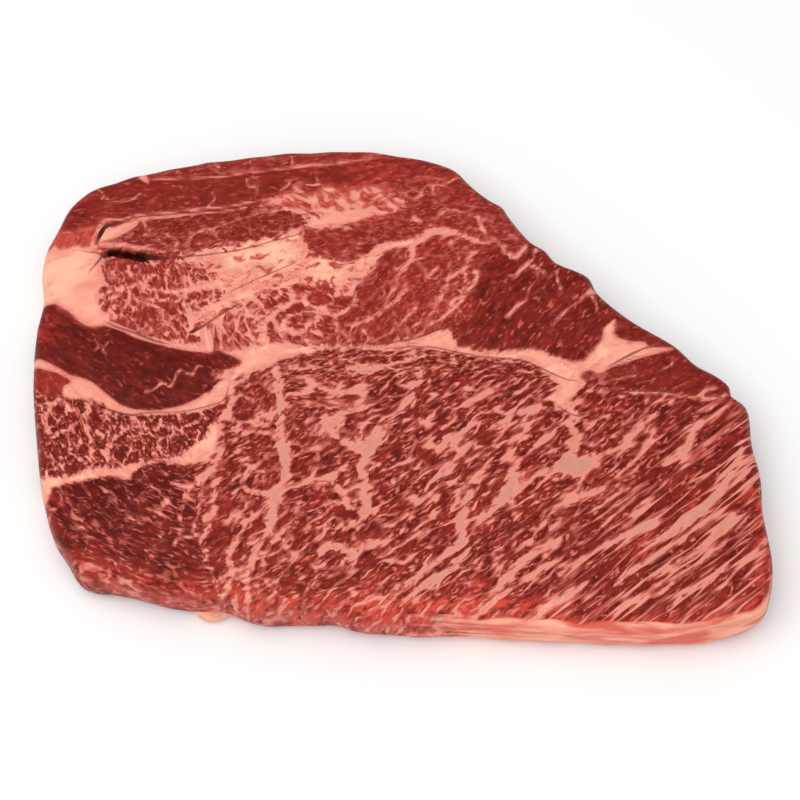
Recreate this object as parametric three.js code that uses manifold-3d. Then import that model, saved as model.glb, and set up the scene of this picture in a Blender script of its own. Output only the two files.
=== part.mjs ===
// A raw, boneless, heavily marbled chuck steak lying flat on its lower cut face.
// It is one slab sawn across the shoulder: several muscles side by side, with seams of fat between them.
// Millimetres, +Z up. X runs along the slab, Y from the near edge to the far one. The origin is under its middle.
import * as THREE from 'three';
import { mergeVertices } from 'three/addons/utils/BufferGeometryUtils.js';
import Module from 'manifold-3d';

// Driving sizes
const THICKNESS = 22; // from cut face to cut face, at the seams
const EDGE_ROUND = 5; // how far in from the widest line the edge rounds over
const EDGE_SQUARENESS = 2.6; // 2 makes the edge a half ellipse, and more makes it squarer
const SWELL = 1.1; // how far the middle of a muscle stands above its seams
const SWELL_REACH = 7; // how far from a seam most of that rise is done
const UNEVENNESS = 0.5; // slow rise and fall left by the knife
const SIDE_RIPPLE = 0.35; // shallow ripples round the side
const RIM_SOFTENING = 6; // passes that smooth the rims, so that they lose the small notches of the widest line

// Mesh density
const CELLS_ALONG = 60; // grid cells on the cut face along X
const CELLS_ACROSS = 42; // and along Y
const SIDE_ROWS = 7; // rows of faces from the upper rim to the lower one

// The widest line round the slab, anticlockwise from the near left corner. Each run is one edge of the cut.
const NEAR_EDGE = [
  [-103.2, -60.3], [-98.2, -66.2], [-88, -69.3], [-76, -72.8], [-62, -75.2], [-52.5, -75.6], [-46, -78.4],
  [-18, -79.8], [-13, -81.8], [23, -83.6], [60, -85.3], [88, -86], [103, -84],
];
const RIGHT_EDGE = [
  [114.6, -79.2], [117.8, -69.5], [117.7, -57], [116.7, -45], [116.5, -35], [114.8, -24], [114.8, -13],
  [113.2, -8.6], [108.8, -5.4], [109.4, -3],
];
const STEPPED_EDGE = [
  [104.2, 2.3], [98, 5.6], [92.5, 11.7], [76, 23.4], [66.8, 32], [65, 37], [61, 39.7], [54, 43], [50.5, 48.2],
  [46.5, 50.4], [38, 61.8], [36.5, 65], [33, 66.8], [26.5, 72.4], [21, 79], [14, 82.2],
];
const FAR_EDGE = [[-8, 86.2], [-28, 86.1], [-50, 84], [-78, 79.2], [-92, 75.2], [-104.3, 70.2]];
const LEFT_EDGE = [
  [-111, 61.8], [-115.2, 51.5], [-118, 40.5], [-116.6, 29], [-118.5, 12], [-116.3, -15], [-113, -36], [-110.6, -45],
  [-107.8, -54],
];
const OUTLINE = [...NEAR_EDGE, ...RIGHT_EDGE, ...STEPPED_EDGE, ...FAR_EDGE, ...LEFT_EDGE];

// Seams between the muscles, each a line over the upper face. The flesh swells between them.
const SEAMS = [
  [[-58, 2], [-46, 8], [-28, 8], [-8, 9], [12, 10], [27, 7], [42, 4], [54, 0], [64, -3], [86, -3], [110, -7]], // under the eye
  [[-100, 47], [-96, 54], [-88, 58], [-68, 60], [-48, 63.5], [-36, 65], [-16, 68], [8, 66], [34, 62]], // under the cap
  [[-92, 44], [-78, 42.5], [-66, 44], [-56, 45.7], [-43, 49.5], [-30, 53.5], [2, 59], [22, 52], [34, 46]], // over the eye
  [[-116, 25], [-102, 19], [-92, 17], [-72, 11], [-55, 6]], // over the dark muscle
  [[-116, 9], [-102, 0], [-92, -10], [-80, -13], [-66, -9], [-58, 2]], // under the dark muscle
  [[-114, -38], [-98, -35], [-78, -31], [-60, -26], [-54, -12], [-50, 0]], // under the netted muscle
  [[50, 3], [62, 8], [70, 4], [80, 10]], // fat wedge by the stepped edge
];

// Places where the meat has parted: the line of each opening, its half widths along that line, and its depth.
const OPENINGS = [
  { line: [[-98, 45], [-94.5, 45.6], [-89, 44.8], [-83, 42.6], [-77, 41.4]], half: [0.6, 1.6, 1.5, 1.1, 0.3], depth: 9 },
  { line: [[-95, 44], [-96, 39.5], [-100, 35.5]], half: [1.2, 0.7, 0.3], depth: 5 },
  { line: [[-93, -11.4], [-87, -13.4], [-80, -13.2], [-75, -12]], half: [0.3, 0.6, 0.6, 0.3], depth: 3 },
  { line: [[70, 3.6], [75, 6.6], [81.5, 9.8]], half: [0.3, 0.7, 0.3], depth: 4 },
];

// Lower lips, where the side stands out further near the table than at the upper rim.
const LIPS = [
  { at: [-97, -66], reach: 7, out: 2 },
  { at: [-40, -80], reach: 10, out: 1.2 },
  { at: [70, -86], reach: 40, out: 0.3 },
];

// A lobe of fat that hangs out from under the near edge.
const LOBE = { centre: [-57.6, -72.6, 3.2], radii: [6, 4.8, 3], columns: 20, rows: 12 };

// Slow unevenness, the same at every build: a sum of long waves over the face.
function unevenness(x, y) {
  const waves = Math.sin(x / 31 + 0.8) * Math.cos(y / 27 - 0.4) + 0.6 * Math.sin((x + 1.7 * y) / 19 + 2.1);
  return (UNEVENNESS * waves) / 1.6;
}

// Distance from (x, y) to a line of points.
function distanceToLine(x, y, line) {
  let nearest = Infinity;
  for (let i = 1; i < line.length; i++) {
    const [ax, ay] = line[i - 1];
    const [dx, dy] = [line[i][0] - ax, line[i][1] - ay];
    const along = THREE.MathUtils.clamp(((x - ax) * dx + (y - ay) * dy) / (dx * dx + dy * dy), 0, 1);
    nearest = Math.min(nearest, Math.hypot(x - ax - along * dx, y - ay - along * dy));
  }
  return nearest;
}

// Height of the upper face: muscles swell between the seams.
function upperFace(x, y) {
  const fromSeam = Math.min(...SEAMS.map((line) => distanceToLine(x, y, line)));
  return THICKNESS + SWELL * (1 - Math.exp(-fromSeam / SWELL_REACH)) + unevenness(x, y);
}

// Points round the widest line, each with the direction that faces outwards. They lie closer where the line turns more.
function outlineStations(count) {
  const points = OUTLINE.map(([x, y]) => new THREE.Vector3(x, y, 0));
  const curve = new THREE.CatmullRomCurve3(points, true, 'centripetal');
  curve.arcLengthDivisions = 4000;
  const lengths = curve.getLengths();
  const total = lengths[lengths.length - 1];
  // Half of the spread follows the length of the line, and half the number of its points.
  const spread = lengths.map((length, k) => 0.5 * (length / total) + 0.5 * (k / (lengths.length - 1)));
  let k = 0;
  return Array.from({ length: count }, (_, station) => {
    while (spread[k + 1] < station / count) k++;
    const place = (k + (station / count - spread[k]) / (spread[k + 1] - spread[k])) / (lengths.length - 1);
    const at = curve.getPoint(place);
    const tangent = curve.getTangent(place);
    return { x: at.x, y: at.y, outX: tangent.y, outY: -tangent.x };
  });
}

// The rim of a cut face: the widest line moved in by the edge's rounding, and smoothed.
function rimOf(stations) {
  let rim = stations.map(({ x, y, outX, outY }) => ({ x: x - outX * EDGE_ROUND, y: y - outY * EDGE_ROUND }));
  for (let pass = 0; pass < RIM_SOFTENING; pass++) {
    rim = rim.map((at, k) => {
      const before = rim[(k + rim.length - 1) % rim.length];
      const after = rim[(k + 1) % rim.length];
      return { x: (before.x + 2 * at.x + after.x) / 4, y: (before.y + 2 * at.y + after.y) / 4 };
    });
  }
  return rim;
}

// How far a station moves out at a height, for the lips and the ripples.
function sideShift(station, height) {
  const share = 1 - height / THICKNESS;
  let shift = SIDE_RIPPLE * Math.sin(station.x / 3.1 + station.y / 4.3) * Math.sin(height / 4 + station.x / 9);
  for (const { at, reach, out } of LIPS) {
    const away = Math.hypot(station.x - at[0], station.y - at[1]) / reach;
    shift += out * Math.exp(-away * away) * share;
  }
  return shift;
}

// Grid cells on the square's border, in the order of the outline's stations.
function borderIndex(i, j) {
  if (j === 0) return i;
  if (i === CELLS_ALONG) return CELLS_ALONG + j;
  if (j === CELLS_ACROSS) return 2 * CELLS_ALONG + CELLS_ACROSS - i;
  return 2 * (CELLS_ALONG + CELLS_ACROSS) - j;
}

// A point of the station list at a fractional place, going round.
function stationAt(stations, place) {
  const low = Math.floor(place);
  const [a, b] = [stations[low % stations.length], stations[(low + 1) % stations.length]];
  return [a.x + (b.x - a.x) * (place - low), a.y + (b.y - a.y) * (place - low)];
}

// The slab: a gridded upper face, rows of faces down the side, and a flat lower face.
function slabGeometry() {
  const around = 2 * (CELLS_ALONG + CELLS_ACROSS);
  const stations = outlineStations(around);
  const rim = rimOf(stations);
  const positions = [];
  const faces = [];
  const quad = (a, b, c, d) => faces.push(a, b, c, a, c, d);

  // Upper face. A cell's distance from the grid's middle says how far out it lies towards the rim.
  const upperIndex = (i, j) => j * (CELLS_ALONG + 1) + i;
  for (let j = 0; j <= CELLS_ACROSS; j++) {
    for (let i = 0; i <= CELLS_ALONG; i++) {
      const [u, v] = [(2 * i) / CELLS_ALONG - 1, (2 * j) / CELLS_ACROSS - 1];
      const reach = Math.max(Math.abs(u), Math.abs(v));
      if (reach === 0) {
        positions.push(0, 0, upperFace(0, 0));
        continue;
      }
      // The ray through the cell meets the grid's border at (bi, bj).
      const [bi, bj] = [((u / reach + 1) * CELLS_ALONG) / 2, ((v / reach + 1) * CELLS_ACROSS) / 2];
      const [x, y] = stationAt(rim, borderIndexAt(bi, bj));
      positions.push(x * reach, y * reach, upperFace(x * reach, y * reach));
    }
  }
  for (let j = 0; j < CELLS_ACROSS; j++) {
    for (let i = 0; i < CELLS_ALONG; i++) {
      quad(upperIndex(i, j), upperIndex(i + 1, j), upperIndex(i + 1, j + 1), upperIndex(i, j + 1));
    }
  }

  // Side. The first row is the border of the upper face, and each further row has vertices of its own.
  const rows = [[]];
  for (let j = 0; j <= CELLS_ACROSS; j++) {
    for (let i = 0; i <= CELLS_ALONG; i++) {
      if (i === 0 || j === 0 || i === CELLS_ALONG || j === CELLS_ACROSS) {
        rows[0][borderIndex(i, j) % around] = upperIndex(i, j);
      }
    }
  }
  for (let row = 1; row <= SIDE_ROWS; row++) {
    const angle = Math.PI * (0.5 - row / SIDE_ROWS);
    const out = row === SIDE_ROWS ? 0 : Math.cos(angle) ** (2 / EDGE_SQUARENESS);
    const rise = Math.sign(Math.sin(angle)) * Math.abs(Math.sin(angle)) ** (2 / EDGE_SQUARENESS);
    rows.push(
      stations.map((station, k) => {
        const top = positions[3 * rows[0][k] + 2];
        const height = row === SIDE_ROWS ? 0 : (top * (1 + rise)) / 2;
        const shift = sideShift(station, height);
        const x = rim[k].x + (station.x - rim[k].x) * out + station.outX * shift;
        const y = rim[k].y + (station.y - rim[k].y) * out + station.outY * shift;
        positions.push(x, y, height);
        return positions.length / 3 - 1;
      }),
    );
    for (let k = 0; k < around; k++) {
      const next = (k + 1) % around;
      quad(rows[row - 1][next], rows[row - 1][k], rows[row][k], rows[row][next]);
    }
  }

  // Lower face, flat on the table.
  const lower = rows[SIDE_ROWS];
  const contour = lower.map((k) => new THREE.Vector2(positions[3 * k], positions[3 * k + 1]));
  for (const [a, b, c] of THREE.ShapeUtils.triangulateShape(contour, [])) faces.push(lower[a], lower[c], lower[b]);

  const geometry = new THREE.BufferGeometry();
  geometry.setAttribute('position', new THREE.Float32BufferAttribute(positions, 3));
  geometry.setIndex(faces);
  return geometry;
}

// The border's order again, for a place between two cells.
function borderIndexAt(i, j) {
  const hair = 1e-9;
  if (j < hair) return i;
  if (i > CELLS_ALONG - hair) return CELLS_ALONG + j;
  if (j > CELLS_ACROSS - hair) return 2 * CELLS_ALONG + CELLS_ACROSS - i;
  return 2 * (CELLS_ALONG + CELLS_ACROSS) - j;
}

// A wedge along an opening's line, wide above the face and sharp at its depth, to cut the opening with.
function wedgeGeometry({ line, half, depth }) {
  const clearance = 4; // the wedge reaches this far above the seams
  const positions = [];
  line.forEach(([x, y], k) => {
    const [before, after] = [line[Math.max(k - 1, 0)], line[Math.min(k + 1, line.length - 1)]];
    const length = Math.hypot(after[0] - before[0], after[1] - before[1]);
    const [sideX, sideY] = [-(after[1] - before[1]) / length, (after[0] - before[0]) / length];
    const spread = (half[k] * (depth + clearance)) / depth;
    positions.push(x + sideX * spread, y + sideY * spread, THICKNESS + clearance);
    positions.push(x - sideX * spread, y - sideY * spread, THICKNESS + clearance);
    positions.push(x, y, THICKNESS - depth);
  });
  const faces = [0, 1, 2];
  for (let k = 0; k + 1 < line.length; k++) {
    const [a, b] = [3 * k, 3 * k + 3];
    for (const [p, q] of [[0, 2], [2, 1], [1, 0]]) faces.push(a + p, a + q, b + q, a + p, b + q, b + p);
  }
  const last = 3 * (line.length - 1);
  faces.push(last, last + 2, last + 1);
  const geometry = new THREE.BufferGeometry();
  geometry.setAttribute('position', new THREE.Float32BufferAttribute(positions, 3));
  geometry.setIndex(faces);
  return geometry;
}

function lobeGeometry({ centre, radii, columns, rows }) {
  return new THREE.SphereGeometry(1, columns, rows).scale(...radii).translate(...centre);
}

const wasm = await Module();
wasm.setup();

// A closed geometry as a solid that can be cut and joined. One that faces inwards is turned round first.
function solidOf(geometry) {
  const bare = geometry.clone();
  bare.deleteAttribute('normal');
  bare.deleteAttribute('uv');
  const merged = mergeVertices(bare, 1e-4);
  const solidFrom = (triVerts) =>
    new wasm.Manifold(
      new wasm.Mesh({ numProp: 3, vertProperties: merged.getAttribute('position').array, triVerts }),
    );
  const triVerts = new Uint32Array(merged.index.array);
  const solid = solidFrom(triVerts);
  return solid.volume() > 0 ? solid : solidFrom(triVerts.reverse());
}

function geometryOf(solid) {
  const mesh = solid.getMesh();
  const geometry = new THREE.BufferGeometry();
  geometry.setAttribute('position', new THREE.BufferAttribute(mesh.vertProperties, 3));
  geometry.setIndex(new THREE.BufferAttribute(mesh.triVerts, 1));
  geometry.computeVertexNormals();
  return geometry;
}

function steak() {
  let solid = solidOf(slabGeometry()).add(solidOf(lobeGeometry(LOBE)));
  for (const opening of OPENINGS) solid = solid.subtract(solidOf(wedgeGeometry(opening)));
  const meat = new THREE.MeshStandardMaterial({ color: 0xa5453c, roughness: 0.45, metalness: 0 });
  const geometry = geometryOf(solid);
  geometry.computeBoundingBox();
  const middle = geometry.boundingBox.getCenter(new THREE.Vector3());
  geometry.translate(-middle.x, -middle.y, 0);
  const mesh = new THREE.Mesh(geometry, meat);
  mesh.name = 'steak';
  return mesh;
}

const part = new THREE.Group();
part.add(steak());

export default part;
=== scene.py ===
# A raw marbled chuck steak on a pale table, lit softly from above.
# Lengths are in metres unless a comment says otherwise, and the table is the plane z = 0.
import math

import bmesh
import bpy
import numpy as np
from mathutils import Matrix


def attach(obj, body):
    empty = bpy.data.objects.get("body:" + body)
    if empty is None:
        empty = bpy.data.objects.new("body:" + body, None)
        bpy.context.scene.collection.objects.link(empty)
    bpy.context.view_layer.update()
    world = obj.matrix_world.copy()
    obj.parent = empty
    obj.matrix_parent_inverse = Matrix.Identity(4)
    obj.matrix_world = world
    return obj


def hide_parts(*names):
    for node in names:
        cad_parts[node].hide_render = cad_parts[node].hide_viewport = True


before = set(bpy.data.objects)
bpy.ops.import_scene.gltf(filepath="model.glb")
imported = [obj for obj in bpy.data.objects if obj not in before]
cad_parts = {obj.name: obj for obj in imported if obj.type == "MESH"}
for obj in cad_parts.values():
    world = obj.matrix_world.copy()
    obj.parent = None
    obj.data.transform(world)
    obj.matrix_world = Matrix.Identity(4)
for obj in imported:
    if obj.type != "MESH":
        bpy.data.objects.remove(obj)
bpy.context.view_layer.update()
scene = bpy.context.scene


# The steak.
# One slab of raw boneless beef, cut straight across several muscles that seams of fat hold together.
# It is a single piece, 237 mm long, 173 mm deep and 24 mm thick, and it lies loose on its lower cut face.

# Places on it are in millimetres on the upper face: x runs to the right and y away from the viewer.
METRE = 1000
CUT_HEIGHT = 22.0
# The size of the mesh's faces, in metres, and how often their corners are eased.
MESH_STEP = 0.00095
EASE_ROUNDS = 4
# How far the muscles lean as they run down through the slab, in mm for each mm.
DRIFT = (0.10, -0.06)
# How far the borders of the muscles wander, and the width over which one muscle's look turns into the next.
WANDER = 0.8
BLEND = 1.6
# Lines count for nothing further away than this.
REACH = 4
# A parting between muscles, painted with shade, is this much wider on each side than it is traced, and ends
# this far away.
LINE_SPREAD = 0.08
LINE_REACH = 1.6
# How deep the shaded partings are cut in, and how far the fat stands below the lean.
FURROW_DEPTH = 0.5
FAT_SINK = 0.18
# The near side lies at a smaller y than the first of these; the reddest painted light on the near edge than
# the second.
NEAR_SIDE = -40
LIT_EDGE = -74


def linear(red, green, blue):
    """A colour given as 0 to 255 on screen, as the light values that a material needs."""
    parts = [c / 255 for c in (red, green, blue)]
    return [c / 12.92 if c <= 0.04045 else ((c + 0.055) / 1.055) ** 2.4 for c in parts] + [1.0]


DARKEST_LEAN = linear(78, 13, 9)
RED_LEAN = linear(128, 32, 24)
BRIGHT_LEAN = linear(192, 68, 54)
REDDER_AND_LIT_LEAN = linear(216, 70, 52)
PAINTED_HIGHLIGHT_LEAN = linear(208, 106, 92)
THIN_FAT = linear(188, 92, 80)
REDDER_AND_LIT_FAT = linear(214, 88, 70)
MIDDLE_FAT = linear(216, 134, 119)
THICK_FAT = linear(230, 152, 132)
GREYER_FAT = linear(196, 134, 118)
WISP_RED = linear(200, 88, 72)
CREAM_FAT = linear(234, 172, 144)
SHADED_FAT = linear(214, 122, 100)
PALEST_FAT = linear(242, 182, 158)
BLUSHING_FAT = linear(206, 114, 96)
SHALLOW_PARTING_SHADE = linear(116, 44, 34)
DEEP_PARTING_SHADE = linear(70, 20, 15)
PINK_SKIN = linear(222, 120, 102)
PALE_SKIN = linear(246, 172, 148)
RED_SKIN = linear(214, 78, 66)
OPENING_SHADE = linear(52, 10, 7)

# Muscles. Each has an outline, the way its strands run, and its look. Where outlines overlap, a place belongs
# to the muscle that it lies deepest in.
# angle: the way that the strands run, in degrees from x. With a centre instead, they run in rings round it,
# and they have their true size at the radius. bend: how far they droop towards the far left, in mm.
# tone: 0 is the darkest lean and 1 a bright red. fatty: how much fine fat there is, none at -1.5 and nothing
# but fat at 3. contrast: how far the strands and the fat between them differ. curly: 0 for long strands and 1
# for short curly ones. coarse: how large the strands are. lobed: how far the strands gather in round lobes.
MUSCLES = {
    "strip over the cap": dict(
        outline=[(-92, 72), (-82, 73), (-70, 73.4), (-57, 74), (-50, 75.3), (-38, 76.8), (-28, 78.2),
            (-20, 79), (-8, 81), (2, 80), (6, 92), (-60, 92), (-100, 84)],
        angle=6, tone=0.55, fatty=-0.65, contrast=0.7, curly=0.3, coarse=1.2),
    "cap": dict(
        outline=[(-125, 70), (-125, 46), (-113, 46.5), (-100, 46), (-99.5, 52), (-97, 56.8), (-88, 59),
            (-75, 60.2), (-60, 62), (-45, 65), (-36, 67.5), (-24, 69.5), (-10, 70.5), (2, 71), (14, 76),
            (30, 80), (4, 92), (-8, 81), (-20, 79), (-38, 76.8), (-50, 75.3), (-57, 74), (-70, 73.4),
            (-82, 73), (-92, 72), (-100, 84)],
        angle=6, tone=0.38, fatty=-1.05, contrast=0.55, curly=0.3, coarse=1.2),
    "left end of the cap": dict(
        outline=[(-125, 60), (-108, 58), (-103, 60), (-100, 55), (-99.5, 46), (-113, 46.5), (-125, 46)],
        angle=75, tone=1.6, fatty=0.5, contrast=1.1, curly=0.2, coarse=1.2),
    "second band": dict(
        outline=[(-99, 48), (-98, 53), (-96, 55.5), (-88, 58.7), (-75, 59.7), (-60, 61), (-46, 63.8),
            (-38, 62), (-30, 60), (-28, 56.5), (-34, 53.5), (-43, 50), (-56, 46), (-70, 44.5), (-78, 43.5),
            (-88, 46.5), (-98, 47)],
        angle=18, tone=0.35, fatty=-0.85, contrast=0.65, curly=0.8, coarse=0.85, lobed=0.3),
    "pink swirl": dict(
        outline=[(-46, 64.5), (-36, 67.5), (-25, 69.5), (-12, 69.8), (-4, 69), (1, 66), (3, 62), (-8, 60.5),
            (-14, 59), (-28, 55.5), (-29, 59), (-38, 62)],
        angle=-22, tone=1.1, fatty=0.6, contrast=1, curly=1, coarse=1.6, lobed=0.2),
    "upper middle": dict(
        outline=[(-28, 54), (-10, 56.5), (0, 59.5), (4, 64), (-4, 68.5), (2, 71), (14, 76), (30, 80),
            (40, 62), (50, 50), (44, 48), (38, 43.5), (36.5, 46), (34, 49.5), (28, 51), (23, 54),
            (16, 55.5), (10, 52.5), (3, 49.5), (-5, 47.5), (-9, 43), (-20, 41), (-26, 43), (-30, 50)],
        angle=6, tone=0.55, fatty=-0.7, contrast=0.65, curly=0.6, coarse=0.95, lobed=0.3),
    "pale centre": dict(
        outline=[(-70, 44), (-60, 45.5), (-50, 47.5), (-42, 49.5), (-36, 51.5), (-33, 53), (-29, 46),
            (-25, 42), (-16, 40.5), (-9, 42), (-4, 46), (-6, 41), (-10, 36), (-13, 31), (-13, 27),
            (-17, 31), (-21, 33.5), (-28, 32.8), (-34, 33.5), (-37, 31), (-42, 30.5), (-48, 27),
            (-55, 22.5), (-61, 18.5), (-66, 14.5), (-68, 17), (-63, 22), (-57, 27), (-60, 34), (-66, 40)],
        angle=20, tone=1, fatty=2.9, contrast=1.45, curly=1, coarse=1.6),
    "left middle": dict(
        outline=[(-97, 43.5), (-88, 43), (-80, 42), (-70, 43), (-60, 40), (-55, 33), (-57, 27), (-63, 22),
            (-66, 16), (-62, 10.5), (-72, 11.5), (-82, 15), (-92, 20), (-97, 25), (-98, 35)],
        angle=-68, tone=0.55, fatty=-0.35, contrast=0.75, curly=1, coarse=0.85, lobed=0.5),
    "fat pad": dict(
        outline=[(-125, 46), (-113, 46), (-97, 44.5), (-98, 33), (-97, 25), (-95, 21), (-101, 18.5),
            (-108, 25), (-125, 26)],
        angle=20, tone=1, fatty=3, contrast=0.3, curly=0.5, coarse=2),
    "dark muscle": dict(
        outline=[(-125, 26), (-110, 25.5), (-105, 22), (-102, 18.7), (-91, 17), (-80, 11.7), (-70, 9),
            (-58, 8), (-51, 5.5), (-54, 1.5), (-62, -7), (-74, -12), (-80, -12.3), (-90, -8.5), (-99, -1),
            (-110, 4.5), (-125, 8)],
        angle=-28, tone=0, fatty=-1.5, contrast=0.35, curly=0.5, coarse=1.2),
    "small oval muscle": dict(
        outline=[(-125, 6), (-115, 2.5), (-109, -0.5), (-107, -7.5), (-112, -6.5), (-120, -2)],
        angle=-50, tone=0.7, fatty=-0.9, contrast=0.5, curly=0.5, coarse=1),
    "netted muscle": dict(
        outline=[(-125, -6), (-107, -9), (-98, -9.5), (-92, -12), (-86, -14.3), (-70, -13.8), (-60, -12.5),
            (-57.5, -17), (-60, -21.5), (-66, -27.5), (-74, -29.5), (-84, -31.5), (-96, -32.5), (-102, -35),
            (-125, -34)],
        angle=-60, tone=0.1, fatty=-0.85, contrast=0.9, curly=1, coarse=0.75, lobed=0.9),
    "lower left": dict(
        outline=[(-125, -34), (-113, -40), (-104, -38.5), (-91, -36), (-84, -36.5), (-77, -31.5),
            (-70, -31), (-65, -33), (-62, -42), (-62, -55), (-56, -68), (-52, -90), (-125, -90)],
        centre=(-31, 54), radius=90, tone=0.05, fatty=-0.85, contrast=0.9, curly=1, coarse=1.1, lobed=0.1),
    "blocky part of the eye": dict(
        outline=[(-60, 0), (-50, 4), (-40, 6), (-38, -5), (-34, -10), (-24, -12), (-14, -16), (-10, -24),
            (-9, -36), (-8, -47), (-10, -60), (-22, -68), (-26, -90), (-52, -90), (-56, -68), (-62, -55),
            (-62, -42), (-65, -33), (-57, -28), (-56, -15)],
        angle=37, tone=0.25, fatty=-0.55, contrast=1.2, curly=0.5, coarse=1.1, lobed=0.6),
    "eye": dict(
        outline=[(-36, -1), (-18, -1), (0, 0.5), (20, 1), (42, -1), (52, 0), (57, -2), (64, -3), (74, -5),
            (86, -6.3), (100, -9), (125, -9), (130, -90), (-26, -90), (-22, -68), (-10, -60), (-8, -47),
            (-9, -36), (-10, -24), (-14, -16), (-24, -12), (-34, -10)],
        angle=38, bend=7.2, tone=0.2, fatty=-0.3, contrast=1.2, curly=0, coarse=1),
    "far edge of the eye": dict(
        outline=[(-40, 6), (-30, 10), (-5, 10.5), (10, 10.5), (25, 8), (42, 5), (52, 0), (42, -1), (20, 1),
            (0, 0.5), (-18, -1), (-36, -1)],
        angle=14, tone=0.15, fatty=0.05, contrast=1.15, curly=0.4, coarse=0.8),
    "small cells": dict(
        outline=[(-45, 27), (-40, 31), (-34, 33), (-28, 32.5), (-21, 33.5), (-17, 31), (-13, 27), (-16, 22),
            (-22, 13), (-24, 10.5), (-34, 11), (-42, 11.5), (-42, 20)],
        angle=-25, tone=0.6, fatty=-0.8, contrast=0.85, curly=0.9, coarse=1, lobed=1.2),
    "round muscle": dict(
        outline=[(-64, 16), (-60, 20), (-48, 26), (-42, 21), (-41.5, 11.5), (-52, 9.5), (-60, 9)],
        centre=(-37, 19), radius=12, tone=0.6, fatty=0.5, contrast=0.9, curly=0.9, coarse=1),
    "veined muscle": dict(
        outline=[(-24, 10.5), (-22, 13), (-16, 22), (-13, 27), (-10, 35), (-5, 45), (4, 49.5), (10, 52),
            (16, 55), (23, 53.5), (28, 50), (32, 46), (26, 36), (26, 24), (22, 17.5), (13, 15.5), (3, 12.3),
            (-5, 10.5)],
        centre=(60, -30), radius=90, tone=0.6, fatty=-0.7, contrast=0.8, curly=0.5, coarse=1, lobed=0.4),
    "bar beside the veined muscle": dict(
        outline=[(-0.1, 44.4), (3.9, 41.8), (1.6, 35.3), (-4.6, 26.3), (-10.3, 21.2), (-17, 18.6),
            (-18.8, 21.2), (-13.1, 26.3), (-7, 35.3), (-3, 42.8)],
        angle=42, tone=0.25, fatty=-1.4, contrast=0.55, curly=0.5, coarse=1.1),
    "dark right muscle": dict(
        outline=[(32, 46), (38, 42), (46, 50), (70, 44), (75, 22), (71, 20), (68, 14), (64, 8.5), (60, 5.2),
            (50, 8), (35, 8.8), (25, 8.5), (19, 14), (22, 17.5), (26, 24), (26, 36)],
        angle=48, tone=0.2, fatty=-1.1, contrast=0.8, curly=0.4, coarse=1.2),
    "small right muscles": dict(
        outline=[(71, 20), (85, 30), (125, 10), (125, -8), (100, -8.5), (86, -6.3), (74, -5.2), (64, -3),
            (60, -1), (67, 0.5), (78, 5.5), (86, 8), (91, 9.6), (82, 10.5), (75, 12), (71.5, 14)],
        angle=25, tone=0.3, fatty=-1, contrast=0.6, curly=0.4, coarse=1.1),
}

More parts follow.
